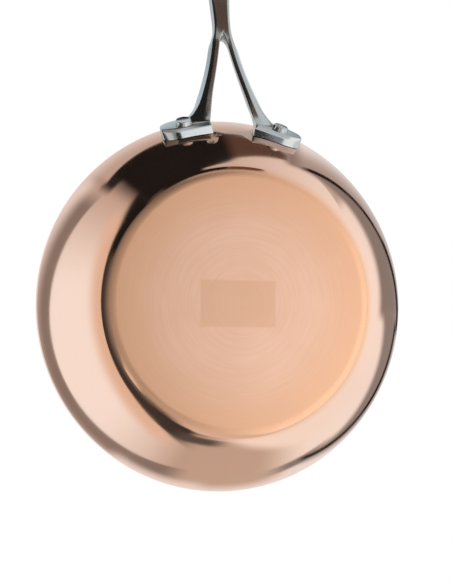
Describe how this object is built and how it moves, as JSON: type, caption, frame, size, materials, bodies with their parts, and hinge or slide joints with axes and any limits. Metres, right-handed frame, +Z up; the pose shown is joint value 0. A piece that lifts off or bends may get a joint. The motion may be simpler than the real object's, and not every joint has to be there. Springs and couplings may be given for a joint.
{
  "type": "frying pan",
  "caption": "Round frying pan with flared copper-clad sides, a flat brushed base, a brushed steel inside and a long forked cast steel handle riveted to the wall, for frying on a hob.",
  "frame": {"origin": "centre of the flat underside of the base, where the pan stands on a hob", "axes": "+Z up out of the pan's mouth, +X from the pan's centre along the handle, +Y to the right of the user who holds the handle"},
  "size_m": [0.4351, 0.24, 0.1022],
  "materials": {
    "copper": "copper sheet, mirror polished on the wall and brushed in circles on the base",
    "aluminium": "rolled aluminium, seen only as the bright middle line of the rim's cut edge",
    "brushed_steel": "stainless steel brushed in circles",
    "cast_steel": "cast stainless steel, polished",
    "rivet_steel": "cold-headed stainless steel, turned flat with a dished face"
  },
  "bodies": {
    "root": {"copper_skin": "copper", "aluminium_core": "aluminium", "steel_lining": "brushed_steel", "handle": "cast_steel", "rivet_right": "rivet_steel", "rivet_left": "rivet_steel"}
  },
  "joints": []
}
